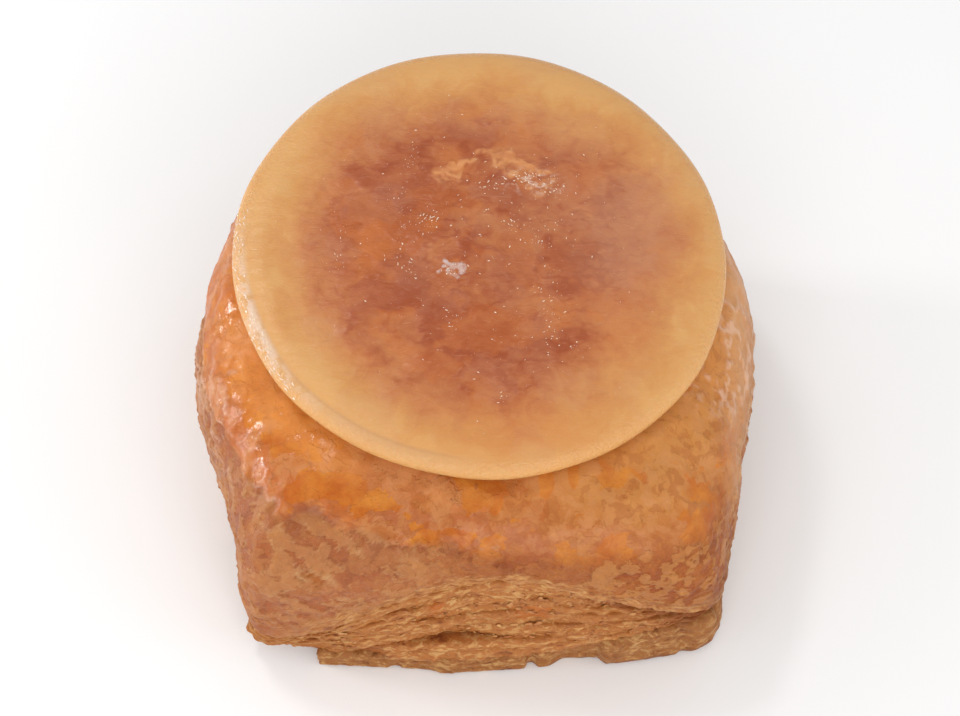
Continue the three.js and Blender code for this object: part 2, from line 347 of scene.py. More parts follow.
# Baked wheat dough at a cut edge: fine leaves fused into a crumbly, matt, straw to tan face.
def edge_colours(material_name, drawn_out, pale_hex, tan_hex, deep_hex):
    """The cut edge's material: streaks along the leaves from deep to pale, crumbs of about 1 mm on them,
    painted shade in the folds by the mark 'depth', and apricot syrup in between the leaves by the mark
    'syrup'."""
    made, tree, shader, marks = new_material(material_name, ("level", "depth", "syrup"))
    where = node(tree, "TexCoord").outputs["Object"]
    leaves = leaf_streaks(tree, where, marks["level"], drawn_out)
    crumbs = node(tree, "TexNoise", {
        "Vector": where, "Scale": 900.0, "Detail": 4.0, "Roughness": 0.7, "Distortion": 1.0})
    broad = node(tree, "TexNoise", {"Vector": where, "Scale": 110.0, "Detail": 3.0})
    streaked = node(tree, "ValToRGB", {0: leaves},
                    stops=[(0.34, deep_hex), (0.44, tan_hex), (0.52, tan_hex), (0.60, pale_hex)])
    colour = painted(
        tree, streaked, (tan_hex, broad, 0.45, 0.45, 0.65), (pale_hex, crumbs, 0.6, 0.54, 0.70),
        (deep_hex, marks["depth"], 1.0), (SYRUP_HEX, marks["syrup"], 1.0))
    dry = node(tree, "MapRange", {0: crumbs, 1: 0.3, 2: 0.7, 3: 0.40, 4: 0.65})
    rough = node(tree, "Mix", {0: marks["syrup"], 2: dry, 3: 0.15})
    leaf_relief = node(tree, "Bump", {"Height": leaves, "Strength": 0.45, "Distance": 0.5 * MM})
    relief = node(tree, "Bump", {
        "Height": crumbs, "Normal": leaf_relief, "Strength": 0.5, "Distance": 0.4 * MM})
    plug(tree, shader, {
        "Base Color": colour, "Roughness": rough, "Normal": relief, "IOR": 1.45, "Specular IOR Level": 0.3,
        "Subsurface Weight": 0.12, "Subsurface Radius": (1.0, 0.45, 0.2), "Subsurface Scale": 1.0 * MM})
    return made


def sheet_outline(theta):
    """The widest outline, bellied at the front, cut short at the front left, torn where the blade dragged."""
    radius = outline(theta) - SIDE_INSET * side_share(theta)
    radius = radius + sum(bump(theta, *belly) for belly in FRONT_BELLIES)
    turn = np.mod(theta, 2 * pi)
    radius = radius - CORNER_CUT * smooth_step(*CORNER_CUT_FROM, turn) * smooth_step(*CORNER_CUT_TO, turn)
    across = radius * np.cos(theta)
    for start, end, depth, slope_in, slope_out in SHEET_TEARS:
        torn = (smooth_step(start - slope_in, start + slope_in, across)
                * smooth_step(end + slope_out, end - slope_out, across))
        radius = radius - depth * np.where(np.sin(theta) < 0, torn, 0)
    return radius


def sheet_top(theta):
    """Height of the bottom sheet's upper face; it swelled thickest at the front right corner."""
    return SHEET_THICKNESS + bump(theta, *THICK_CORNER)


theta = front_dense(EDGE_STEPS)
SHEET_PROFILE = np.array([  # inwards from the edge in mm, share of the thickness
    (40, 0), (12, 0), (4, 0), (2.0, 0), (1.2, 0.0), (0.6, 0.03), (0.25, 0.09), (0.1, 0.16), (0.0, 0.24),
    (0.1, 0.30), (0.35, 0.34), (0.15, 0.39), (0.05, 0.47), (0.1, 0.55), (0.05, 0.62), (0.1, 0.68),
    (0.3, 0.72), (0.15, 0.76), (0.1, 0.82), (0.2, 0.88), (0.45, 0.94), (0.9, 0.98), (1.6, 1.0),
    (2.8, 1.0), (4.2, 1.0), (7, 0.98), (12, 0.95), (40, 0.9)])
inset, share = SHEET_PROFILE[:, :1], SHEET_PROFILE[:, 1:]
flat_sheet = place(theta, sheet_outline(theta) - inset, sheet_top(theta) * share)
edge_share = bell(inset, 2.5) * smooth_step(0.02, 0.2, share)
ragged = 0.40 * cloud(flat_sheet * (1, 1, 1.6), 6.0, 11, 3)
ragged = ragged + 0.16 * cloud(flat_sheet * (1, 1, 1.5), 1.4, 12, 2)
scallops = 0.35 * np.sin(theta * 95 + 3 * wander(theta, 4)) * smooth_step(0.6, 1.0, share)
sheet = flat_sheet + outward(flat_sheet) * ((ragged + scallops) * edge_share)[..., None]
sheet[..., 2] = np.maximum(sheet[..., 2], 0)
# the mark 'depth': painted shade where the sheet runs in under the leaves, and darker along the foot at the
# front right corner
dark_foot = 0.65 * smooth_step(0.24, 0.12, share) * bump(theta, -0.27 * pi, 1.0, 0.5)
sheet_depth = np.maximum(smooth_step(2.6, 5.0, inset), dark_foot)
sheet_mat = edge_colours("baked_dough_cut_edge", 2.2, "#bb8c56", "#9a602e", "#703a19")
bottom_sheet = skin_piece("bottom_sheet", sheet, sheet_mat, "crust", depth=sheet_depth,
                          level=flat_sheet[..., 2], syrup=np.zeros_like(sheet_depth))
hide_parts("laminated_dough")


# ---- The leaves
# The sheets of dough between the bottom sheet and the crust, parted by steam from the butter between
# them. Their crumbly cut edges make one pile that opens into a few pockets; at the corners it is pressed.

LIP = dict(right=14.0, back=24.0, left=14.0, front=25.7)
LIP_AT_CORNERS = dict(back_right=9.5, back_left=9.5, front_left=9.5, front_right=13.5)
LIP_SETBACK = dict(right=-0.4, back=2.5, left=-0.2, front=3.1)
LIP_CORNER_SETBACK = dict(back_right=0.5, back_left=0.5, front_left=0.1, front_right=0.6)
LIP_LEAN = 0.05
LIP_FULLNESS = 0.35
LEAVES = 10
LEAF_WIDTH = 6.0
LEAF_SIDE_INSET = 0.5
UNDER_LIP = 0.6
LEAF_REACH = (0.1, 0.3, -0.5, 0.1, -0.3, 0.3, -0.4, 0.2, -0.2, 0.1)
LEAF_SECTION = np.array([  # inwards from the nose in mm, share of the half thickness
    (LEAF_WIDTH, -0.6), (4.2, -0.8), (2.4, -0.95), (1.1, -1.0), (0.4, -0.9), (0.12, -0.6), (0.0, -0.1),
    (0.03, 0.4), (0.2, 0.8), (0.6, 1.0), (1.4, 1.0), (2.6, 0.95), (4.2, 0.8), (LEAF_WIDTH, 0.6)])
# a pocket's last column is how dark its painted shade is
POCKETS = [  # first leaf and the one after the last, angle, depth in mm, width in radians, how dark
    (2, 4, -0.54 * pi, 2.0, 0.15, 0.15), (0, 2, -0.645 * pi, 1.6, 0.07, 0.5),
    (0, 4, -0.262 * pi, 1.8, 0.13, 0.8), (4, 10, -0.262 * pi, 2.6, 0.16, 1.0),
    (7, 10, -0.32 * pi, 1.4, 0.14, 0.7),
    (5, 6, -0.44 * pi, 1.2, 0.12, 0.2), (0, 10, -0.705 * pi, 1.5, 0.09, 0.1)]
SYRUP = [  # leaf, angle and width in radians
    (5, -0.445 * pi, 0.07), (6, -0.43 * pi, 0.05), (0, -0.628 * pi, 0.02), (7, -0.56 * pi, 0.05)]


def arch(theta):
    """0 at a corner, rising steeply, then flattening to 1 at the middle of a side: m(1+k) / (m+k)."""
    middle_share = mid_side(theta, LIP_LEAN)
    return middle_share * (1 + LIP_FULLNESS) / (middle_share + LIP_FULLNESS)


def lip_height(theta):
    """Height of the crust's edge: each corner's height, rising in an arch to each side's own height."""
    low = by_corner(theta, **LIP_AT_CORNERS)
    return low + (by_side(theta, **LIP) - low) * arch(theta)


def corner_setback(theta):
    """How far the crust and the leaves stand back at the corners, in mm."""
    return by_corner(theta, **LIP_CORNER_SETBACK) * (1 - mid_side(theta, LIP_LEAN))


def lip_outline(theta, *sizes):
    """Distance of the crust's edge from the middle: it stands back from the base at the front and back."""
    setback = by_side(theta, **LIP_SETBACK) * mid_side(theta, LIP_LEAN) + corner_setback(theta)
    return outline(theta, *sizes) - setback


def pile_face(theta, share):
    """Distance of the pile's face from the middle: the foot's outline mixed with the lip's by a share of
    the way up, set back at the corners and along the right and left sides."""
    face = outline(theta) + (lip_outline(theta) - outline(theta)) * share
    return face - corner_setback(theta) - (SIDE_INSET + LEAF_SIDE_INSET) * side_share(theta)


def in_pockets(theta, leaf):
    """How far a leaf stands back in the pockets it borders, in mm, and how dark its painted shade is there,
    from 0
    to 1: a bell for each pocket. A leaf may be a fraction, on the way to the next."""
    back, dark = np.zeros_like(theta * leaf), np.zeros_like(theta * leaf)
    for first, after, at, depth, width, shade in POCKETS:
        borders = (first <= np.asarray(leaf)) & (np.asarray(leaf) < after)
        back = back + bump(theta, at, depth, width) * borders
        dark = dark + bump(theta, at, shade, width) * borders
    return back, dark


def leaf_grid(theta, leaf):
    """One leaf as a hoop: a flat, blunt-nosed section carried round at the leaf's own height and reach."""
    room = lip_height(theta) - UNDER_LIP - sheet_top(theta)
    share = (leaf + 0.5) / LEAVES + 0.03 * wander(theta, leaf + 20) * mid_side(theta)
    middle_height = sheet_top(theta) + room * share
    thick = np.clip(room / LEAVES * (1.45 + 0.4 * wander(theta, leaf + 9)), 0.45, 3.4)
    reach = mid_side(theta) * (LEAF_REACH[leaf] + 0.45 * wander(theta, leaf))
    nose = pile_face(theta, share) + reach - in_pockets(theta, leaf)[0]
    inset, half = LEAF_SECTION[:, :1], LEAF_SECTION[:, 1:]
    return place(theta, nose - inset, middle_height + half * thick / 2)


leaf_mat = edge_colours("baked_dough_leaves", 4.0, "#c8965c", "#ac6931", "#7e3f1a")
leaf_inset, leaf_half = LEAF_SECTION[:, :1], LEAF_SECTION[:, 1:]
leaf_tip = bell(leaf_inset, 1.4)
for group, leaves_in_group in (("lower_leaves", range(0, 5)), ("upper_leaves", range(5, 10))):
    points, faces, depths, levels, syrups = [], [], [], [], []
    for leaf in leaves_in_group:
        flat = leaf_grid(theta, leaf)
        torn = (0.40 * cloud(flat * (1, 1, 0.3), 5.0, 40 + leaf, 3)
                + 0.22 * cloud(flat * (1, 1, 0.6), 1.6, 50 + leaf, 2)) * leaf_tip
        crumb = 0.12 * cloud(flat, 1.1, 60 + leaf, 2) * (0.3 + leaf_tip)
        grid = flat + outward(flat) * crumb[..., None] + place(theta, torn, 0.0)
        faces.append(grid_faces(*grid.shape[:2], first=sum(len(p) for p in points), wrap_rows=True))
        points.append(grid.reshape(-1, 3))
        # the mark 'depth' is painted shade: darker inwards from each leaf's nose, between the leaves, and in
        # the pockets
        shade = 0.6 * smooth_step(1.2, 3.2, leaf_inset) + in_pockets(theta, leaf)[1]
        depths.append(np.clip(shade, 0, 1).ravel())
        levels.append((1.7 * leaf + 0.9 * leaf_half * np.ones_like(theta)).ravel())
        wet = sum(bump(theta, at, float(of_leaf == leaf), width) for of_leaf, at, width in SYRUP)
        wet = wet + 0.5 * cloud(flat * (0.5, 0.5, 2.5), 2.0, 80 + leaf, 3)
        syrups.append(0.75 * smooth_step(0.6, 0.8, wet).ravel())
    new_piece(group, np.concatenate(points), np.concatenate(faces), np.zeros((0, 3), int), leaf_mat,
              "crust", depth=np.concatenate(depths), level=np.concatenate(levels),
              syrup=np.concatenate(syrups))


# ---- The crust
# The top sheets of dough, baked into one flaky skin that domes up over the crumb. It is golden to
# reddish brown, wrinkled and peeling lower down, and brushed with hot apricot glaze above.

DOME_HALF_SIDE = 44.2
DOME_CORNER_POWER = 9.0
SHOULDER = dict(right=4.3, back=4.2, left=3.6, front=3.6)
CORNER_SHOULDER = 4.0
CRUST_SWELL = dict(right=-0.3, back=1.0, left=0.8, front=0.0)
BACK_SWELLS = ((0.90 * pi, 1.7, 0.38), (0.1 * pi, 1.6, 0.23))
CROWN_HEIGHT = 45.4
CROWN_SLOPE = 0.1
CROWN_WAVE = 0.5
WAVE_LENGTH = 19.0
CUSTARD_TILT = radians(5.9)
CUSTARD_ROLL = radians(2.9)
CUSTARD_SEAT = np.array([0.1, 11.9, 47.0])
SEAT_GAP = 0.35
SEAT_BLEND = 1.5
CREASE_HEIGHT = dict(right=33.0, back=36.0, left=32.5, front=34.3)
CREASE_CORNER_RISE = (-0.73 * pi, 3.9, 0.5)
# the crust's front right corner, darkened as painted shade: angle, reach and width
SHADED_CORNER = (-0.235 * pi, 0.55, 0.13)
CRUST_STEPS = 680
LOW_ROWS, HIGH_ROWS, ROWS_MEET = 116, 18, 0.72  # dense rows up to this climb, wider ones above it
GLAZE_PANES = (  # place in plan and half sizes, in mm
    (11.5, -31.0, 1.5, 4.5), (16.2, -29.5, 1.2, 4.0), (36.8, -11.2, 1.4, 1.8))
WET_SPOTS = (  # place and reach, in mm
    ((-47, 5, 40), 5), ((-43, -11.2, 40.7), 3.5), ((-36.8, -15.2, 41.1), 4))
HOLE, HOLE_SIZE = (-28.3, -43.8, 28.9), (1.9, 1.0, 1.1)

custard_up = np.array([
    np.sin(CUSTARD_ROLL), -np.sin(CUSTARD_TILT) * np.cos(CUSTARD_ROLL),
    np.cos(CUSTARD_TILT) * np.cos(CUSTARD_ROLL)])


def seat_height(x, y):
    """Height of the plane of the custard's underside."""
    away_x, away_y = x - CUSTARD_SEAT[0], y - CUSTARD_SEAT[1]
    return CUSTARD_SEAT[2] - (custard_up[0] * away_x + custard_up[1] * away_y) / custard_up[2]


def soft_min(a, b, blend):
    """The lower of two heights, rounded over where they meet."""
    share = np.clip(0.5 + 0.5 * (b - a) / blend, 0, 1)
    return b * (1 - share) + a * share - blend * share * (1 - share)


def crust_dome(theta, climb):
    """The dome from the lip (climb 0) to the crown (1): a superellipse quarter taken by its angle."""
    power = by_side(theta, **SHOULDER) * mid_side(theta) + CORNER_SHOULDER * (1 - mid_side(theta))
    angle = climb * pi / 2
    length = (np.cos(angle) ** power + np.sin(angle) ** power) ** (-1 / power)
    inwards, upwards = length * np.cos(angle), length * np.sin(angle)
    swell = by_side(theta, **CRUST_SWELL) + sum(bump(theta, *back) for back in BACK_SWELLS)
    swell = swell * np.sin(pi * np.clip(1.25 * climb, 0, 1))
    foot = 1 - smooth_step(0, 0.4, climb)
    edge = lip_outline(theta) * foot + lip_outline(theta, DOME_HALF_SIDE, DOME_CORNER_POWER) * (1 - foot)
    points = place(theta, edge * inwards + swell, 0.0)
    x, y = points[..., 0], points[..., 1]
    wave = CROWN_WAVE * np.sin(2 * pi * x / WAVE_LENGTH + 1) * np.cos(2 * pi * y / WAVE_LENGTH)
    low = lip_height(theta)
    dome = low + (CROWN_HEIGHT + CROWN_SLOPE * y + wave - low) * upwards
    points[..., 2] = soft_min(dome, seat_height(x, y) - SEAT_GAP, SEAT_BLEND)
    return points


crust_theta = front_dense(CRUST_STEPS)
WALL_ROWS = np.array([  # inwards from the lip in mm; height as a share from sheet to lip, and mm more
    (30, 0.0, -1.5), (9, 0.0, -1.5), (4.9, 0.0, -1.0), (4.6, 0.25, 0), (4.4, 0.5, 0), (4.2, 0.75, 0),
    (3.8, 1.0, -1.9), (2.2, 1.0, -1.6), (1.2, 1.0, -1.45), (0.5, 1.0, -1.3), (0.1, 1.0, -1.0),
    (-0.05, 1.0, -0.5)])
wall_in, wall_share, wall_add = (WALL_ROWS[:, k:k + 1] for k in range(3))
wall_height = sheet_top(crust_theta) + (lip_height(crust_theta) - sheet_top(crust_theta)) * wall_share
wall = place(crust_theta, lip_outline(crust_theta) - wall_in, wall_height + wall_add)
climb = np.concatenate([ROWS_MEET * np.linspace(0, 1, LOW_ROWS) ** 1.3,
                        np.linspace(ROWS_MEET, 1, HIGH_ROWS)[1:-1]])[:, None]
dome = crust_dome(crust_theta[None, :], climb)
smooth = np.concatenate([wall, dome])
normal = outward(smooth)
on_dome = np.concatenate([np.zeros(len(wall_in)), np.ones(len(climb))])[:, None]
near_lip = np.concatenate([smooth_step(5, 0, WALL_ROWS[:, 0]), np.ones(len(climb))])[:, None]


def shifted(points, amount, cell, seed):
    """Points moved about by three clouds, so that a pattern read at them has torn, feathery edges."""
    return points + amount * np.stack([cloud(points, cell, seed + k, 3) for k in range(3)], -1)


def patches(points, cell, seed, low, high, octaves=4):
    """Patches with a crisp edge: a cloud that turns from 0 to 1 between two near levels."""
    return smooth_step(low, high, cloud(points, cell, seed, octaves))


def ridged(points, cell, seed, octaves=3):
    """Noise of 0 to 1 with sharp winding crests: each octave is one less the size of a cloud."""
    crests = [0.5**k * (1 - 1.3 * np.abs(cloud(points, cell / 2**k, seed + k, 1))) for k in range(octaves)]
    return np.clip(sum(crests) / (2 - 0.5 ** (octaves - 1)), 0, 1)


def blisters(points, cell, seed, share_kept=0.5):
    """Round blisters: one centre at a seeded spot in each cubic cell; 1 at a centre, 0 past its edge."""
    draw = np.random.RandomState(seed)
    jitter = draw.uniform(0.15, 0.85, (LATTICE,) * 3 + (3,))
    size = draw.uniform(0.2, 0.5, (LATTICE,) * 3) * (draw.uniform(0, 1, (LATTICE,) * 3) < share_kept)
    spot = points / cell + 100
    low = np.floor(spot).astype(int)
    best = np.zeros(points.shape[:-1])
    for neighbour in np.ndindex(3, 3, 3):
        cell_at = low + neighbour - 1
        a, b, c = np.moveaxis(cell_at % LATTICE, -1, 0)
        away = np.linalg.norm(spot - cell_at - jitter[a, b, c], axis=-1)
        best = np.maximum(best, 1 - (away / np.maximum(size[a, b, c], 1e-3)) ** 2)
    return np.clip(best, 0, 1)


# where the crust is glazed: above a crease that runs round under the shoulders, softer to the right;
# each mark from here on is a share of 0 to 1 at every point, from its place in mm and seeded clouds
x, y, height = np.moveaxis(smooth, -1, 0)
crease = by_side(crust_theta, **CREASE_HEIGHT) + bump(crust_theta, *CREASE_CORNER_RISE)
above_crease = height - crease - 0.4 * wander(crust_theta, 3) + 0.7 * cloud(smooth, 5.0, 201, 3)
at_left = smooth_step(-16, -30, x + 3 * cloud(smooth, 8, 202, 2))
at_right = smooth_step(4, 34, x + 4 * cloud(smooth, 8, 203, 2)) * (0.35 + 0.65 * smooth_step(33, 42, height))
edge_softness = 0.5 + 4.0 * smooth_step(-14, 22, x)
glaze = smooth_step(-edge_softness, 0.8 * edge_softness, above_crease) * on_dome
matt = 1 - glaze

# the lip frays into fibres over its first millimetres
steps_up = np.linalg.norm(np.diff(smooth[len(wall_in):], axis=0), axis=-1)
from_lip = np.concatenate([np.full((len(wall_in) + 1, CRUST_STEPS), -0.3), np.cumsum(steps_up, axis=0)])
fibres = smooth_step(3.4, 1.6, from_lip + 1.3 * cloud(smooth * (1, 1, 2), 3.0, 219, 3))
fibres = fibres * smooth_step(-4, 3, lip_height(crust_theta) - 12)

# the matt part: wrinkles, peeled leaves (scabs, long tongues and pale ones at the right), small blisters
leaning = smooth @ np.array([(0.85, 0.1, 0.35), (0.1, 0.9, 0.1), (-0.45, -0.1, 0.75)])
wrinkle = ridged(shifted(leaning, 1.2, 3.5, 220), 5.0, 230, 3)
small_wrinkle = ridged(shifted(smooth, 0.5, 1.8, 225), 2.0, 236, 2)
scab = patches(shifted(leaning, 1.2, 3.0, 250), 4.6, 251, -0.10, 0.24) * smooth_step(0.8, 2.2, from_lip)
dots = blisters(smooth, 2.2, 213, 0.6) * patches(smooth, 9, 214, 0.0, 0.3, 2)
cream = patches(shifted(smooth, 0.6, 1.8, 270), 2.2, 271, -0.15, 0.30)
cream = cream * smooth_step(10, 26, x + 4 * cloud(smooth, 6, 272, 2)) * smooth_step(37, 29, height)
cream = cream * smooth_step(1.0, 2.5, from_lip) * (0.6 + 0.4 * smooth_step(-24, -36, y))
tongue_cloud = cloud(shifted(leaning, 0.8, 2.5, 274) * (0.45, 1, 1.3), 2.6, 275, 3)
at_tongue = smooth_step(0, -14, x + 4 * cloud(smooth, 8, 276, 2)) * smooth_step(1.5, 3.0, from_lip)
tongue = smooth_step(-0.06, 0.34, tongue_cloud) * at_tongue
# tongue_rim: a pale line along each tongue's edge, a painted highlight on its lifted edge
tongue_rim = bell(tongue_cloud - 0.14, 0.06) * at_tongue
pink = smooth_step(-0.3, 0.4, cloud(smooth, 14.0, 234, 2) + 0.25 * np.tanh((height - 31) / 5))
pink = pink * (1 - 0.8 * smooth_step(-12, 14, x))

# the glazed part: film, panes of bare amber glaze, beads and wet places at the left, pools by the custard,
# painted bright partly as their own glaze and partly as painted light against the custard's shadow
film = patches(shifted(smooth, 0.5, 3.0, 240) * (0.75, 0.8, 1.5), 6.0, 241, -0.20, 0.20)
window = patches(shifted(smooth, 0.5, 2.5, 245) * (0.7, 0.8, 1.5), 5.5, 246, 0.00, 0.40)
window = window * (1 - 0.75 * at_right)
for pane_x, pane_y, wide, long in GLAZE_PANES:
    pane = bell(x - pane_x, wide) * bell(y - pane_y, long)
    window = np.maximum(window, pane * smooth_step(30, 36, height))
beads = blisters(shifted(smooth, 0.5, 1.5, 262), 2.2, 260, 0.6) * at_left
beads = beads * patches(smooth, 9.0, 268, -0.1, 0.4, 2)
wet = at_left * patches(smooth, 9.0, 280, 0.0, 0.35, 2) * smooth_step(-31, -22, y)
for wet_at, reach in WET_SPOTS:
    wet = np.maximum(wet, smooth_step(reach, 0.5 * reach, np.linalg.norm(smooth - wet_at, axis=-1)))
wet = np.maximum(wet, 0.7 * window * smooth_step(10, -14, x))
custard_side = (smooth - CUSTARD_SEAT) @ np.stack([np.cross((0, 1, 0), custard_up), (0, 1, 0)], 1)
# pools by the custard's rim: bright orange, partly the glaze's own colour and partly painted light where the
# custard's shadow falls
pooled_and_lit = smooth_step(51, 46, np.hypot(*np.moveaxis(custard_side, -1, 0))) * glaze
pooled_and_lit = pooled_and_lit * (0.3 + 0.7 * smooth_step(-14, -27, x) * smooth_step(12, -6, y))

# lines: dried rims of glaze at the left and dry wrinkles at the sides, painted whitish, partly as a sheen;
# the sunken crease, painted darker as shade in it; and one small hole
rim_ridge = bell(above_crease, 0.25) * at_left * smooth_step(-38, -30, y)
rim_ridge = rim_ridge + bell(above_crease + 3.4, 0.25) * at_left * smooth_step(-30, -22, y)
rim_ridge = rim_ridge * smooth_step(12, 0, y) * patches(smooth, 4.0, 284, -0.25, 0.1, 3)
# painted shade: a dark line along the sunken crease
crease_line = bell(above_crease, 0.35) * patches(smooth, 6, 218, -0.25, 0.1, 2)
crease_line = crease_line * smooth_step(-3, -9, x) * smooth_step(-36, -31, x)
dry_sheen_wrinkle = ridged(shifted(smooth, 0.6, 2.5, 264) * (1.1, 0.4, 0.7), 2.0, 266, 3)
at_wrinkle = smooth_step(35, 42, x + 2 * cloud(smooth, 7, 282, 2)) * smooth_step(17, 9, np.abs(y + 2))
at_wrinkle = at_wrinkle + 0.5 * smooth_step(-41, -45, x) * smooth_step(17, 8, np.abs(y + 14))
dry_sheen_wrinkle = smooth_step(0.60, 0.78, dry_sheen_wrinkle) * at_wrinkle * smooth_step(20, 30, height)
from_hole = np.linalg.norm((shifted(smooth, 0.7, 1.5, 278) - HOLE) / HOLE_SIZE, axis=-1)
hole = smooth_step(1.3, 0.8, from_hole)
hole_rim = bell(from_hole - 1.7, 0.35) * smooth_step(27.5, 29.5, height)

fine_lumps = cloud(smooth, 1.9, 217, 2)
rise = near_lip * (
    0.40 * cloud(smooth, 13.0, 215, 2) + 0.12 * cloud(smooth, 4.5, 216, 2)
    + matt * (0.40 * (wrinkle - 0.5) + 0.22 * (small_wrinkle - 0.5) + 0.16 * scab + 0.18 * dots
              + 0.10 * fine_lumps + 0.22 * cream + 0.24 * tongue - 0.4 * hole + 0.12 * hole_rim
              - 0.25)
    + glaze * (0.16 * film + (0.10 + 0.04 * at_left) * fine_lumps - 0.10 * window + 0.17 * beads)
    + fibres * (0.22 * ridged(smooth * (1, 1, 4), 3.0, 238, 2) + 0.15 * fine_lumps)
    + 0.40 * rim_ridge - 0.30 * crease_line + 0.16 * dry_sheen_wrinkle)
# the mark 'depth' is painted shade: darker far in under the lip, and on the foot at the front right corner
under_lip = smooth_step(0.8, 3.0, WALL_ROWS[:, :1]) * np.ones_like(crust_theta)
painted_corner_shade = bump(crust_theta, *SHADED_CORNER) * smooth_step(9.0, 1.0, from_lip) * on_dome
crust_marks = dict(
    glaze=glaze, depth=np.concatenate([under_lip, np.zeros(dome.shape[:2])]) + painted_corner_shade, film=film,
    window=window, at_left=at_left, at_right=at_right, scab=scab, pink=pink, dots=dots,
    crease_line=crease_line, fibres=fibres, level=from_lip, cream=cream, tongue=tongue,
    tongue_rim=tongue_rim, lit_right_edge=smooth_step(42, 47, x) * smooth_step(22, 29, height),
    warm=0.3 + 0.7 * smooth_step(-20, 8, x), hole=hole, hole_rim=hole_rim, wet=wet, pooled_and_lit=pooled_and_lit,
    dry_skin_and_sheen=np.clip(rim_ridge + dry_sheen_wrinkle, 0, 1))

# Baked dough skin, matt and flaky where it is bare, glossy and amber where the apricot glaze covers it.
# Its noises have cells of about 5, 3 and 1.2 mm; stepped, they are leaves that have peeled off in turn.
crust_mat, tree, shader, marks = new_material("baked_glazed_crust", crust_marks)
where = node(tree, "TexCoord").outputs["Object"]
mottle, tearing, fine = (
    node(tree, "TexNoise", {
        "Vector": where, "Scale": scale, "Detail": detail, "Roughness": rough, "Distortion": distortion})
    for scale, detail, rough, distortion in (
        (190.0, 6.0, 0.56, 0.4), (320.0, 5.0, 0.56, 0.5), (800.0, 4.0, 0.65, 0.8)))
leaf_steps, small_steps = (
    node(tree, "MapRange", {0: noise, 1: 0.30, 2: 0.70, 3: 0.0, 4: 1.0, "Steps": steps},
         interpolation_type="STEPPED")
    for noise, steps in ((mottle, 9.0), (tearing, 7.0)))
leaf_count = node(tree, "MapRange", {0: mottle, 1: 0.30, 2: 0.70, 3: 0.0, 4: 10.0}, clamp=False)
in_leaf = node(tree, "Math", {0: leaf_count}, operation="FRACT")

# the outline of a peeled leaf or a pane: its mark and the noise that tears it, cut off at a level
cut = {}
for name, start, full in (("scab", 0.915, 0.985), ("tongue", 0.915, 0.985), ("cream", 0.915, 0.985),
                          ("film", 0.915, 0.985), ("window", 0.90, 1.02)):
    torn_mark = node(tree, "Math", {0: tearing, 1: 0.9, 2: marks[name]}, operation="MULTIPLY_ADD")
    cut[name] = node(tree, "MapRange", {0: torn_mark, 1: start, 2: full, 3: 0.0, 4: 1.0})

bare_leaves = node(tree, "ValToRGB", {0: leaf_steps}, stops=[
    (0.0, "#863f17"), (0.15, "#954f24"), (0.27, "#a35b2c"), (0.38, "#985228"), (0.49, "#a9602f"),
    (0.60, "#9f582b"), (0.71, "#b06c38"), (0.84, "#a56232"), (1.0, "#bc7d44")])
# at each stepped leaf the pale line at its low end is a painted highlight and the dark line at its high end
# painted shade
matt_colour = painted(
    tree, bare_leaves,
    ("#b0643a", marks["pink"], 0.45), ("#b87a46", cut["scab"], 0.4), ("#b87c4a", marks["dots"], 0.5),
    ("#b87b46", tearing, 0.35, 0.545, 0.56), ("#884523", tearing, 0.40, 0.42, 0.405),
    ("#c59060", in_leaf, 0.5, 0.18, 0.06), ("#80421f", in_leaf, 0.45, 0.80, 0.94),
    ("#c48c58", cut["tongue"], 0.4), ("#d2a174", marks["tongue_rim"], 0.5))
warmed = node(tree, "Mix", {0: marks["warm"], 6: matt_colour, 7: linear("#f0d69c")},
              data_type="RGBA", blend_type="MULTIPLY")
fibre_tone = node(tree, "ValToRGB", {0: leaf_streaks(tree, where, marks["level"], 3.5)},
                  stops=[(0.34, "#8c4a1e"), (0.48, "#b0713a"), (0.64, "#cb965c")])
matt_colour = painted(
    tree, warmed.outputs[2], ("#c98e4e", cut["cream"], 0.4), ("#c99a68", marks["hole_rim"], 0.6),
    (fibre_tone, marks["fibres"], 1.0))

glazed_leaves = node(tree, "ValToRGB", {0: leaf_steps}, stops=[
    (0.0, "#a54f18"), (0.27, "#b15e25"), (0.38, "#ac5923"), (0.49, "#b7672e"), (0.60, "#b1612a"),
    (0.71, "#bd7039"), (1.0, "#c67f44")])
amber_tone = node(tree, "ValToRGB", {0: mottle}, stops=[(0.36, "#b8580f"), (0.64, "#d48228")])
glazed_colour = painted(
    tree, glazed_leaves,
    ("#bb7146", cut["film"], 0.45), ("#cc7232", marks["at_left"], 0.5), ("#d3934a", marks["at_right"], 0.65),
    ("#cf9250", cut["scab"], 0.22), ("#cc8a56", tearing, 0.35, 0.54, 0.555),
    ("#a65a26", tearing, 0.40, 0.45, 0.435), (amber_tone, cut["window"], 0.8),
    ("#e8964a", marks["pooled_and_lit"], 0.6))
# the right edge's pale tone is painted light, where the light falls on that side
crust_colour = painted(
    tree, matt_colour, (glazed_colour, marks["glaze"], 1.0),
    ("#8a4430", marks["crease_line"], 0.6), ("#dea670", marks["lit_right_edge"], 0.5),
    ("#a85a16", marks["hole"], 0.85), ("#e6c0a8", marks["dry_skin_and_sheen"], 0.55), ("#7c4020", marks["depth"], 1.0))

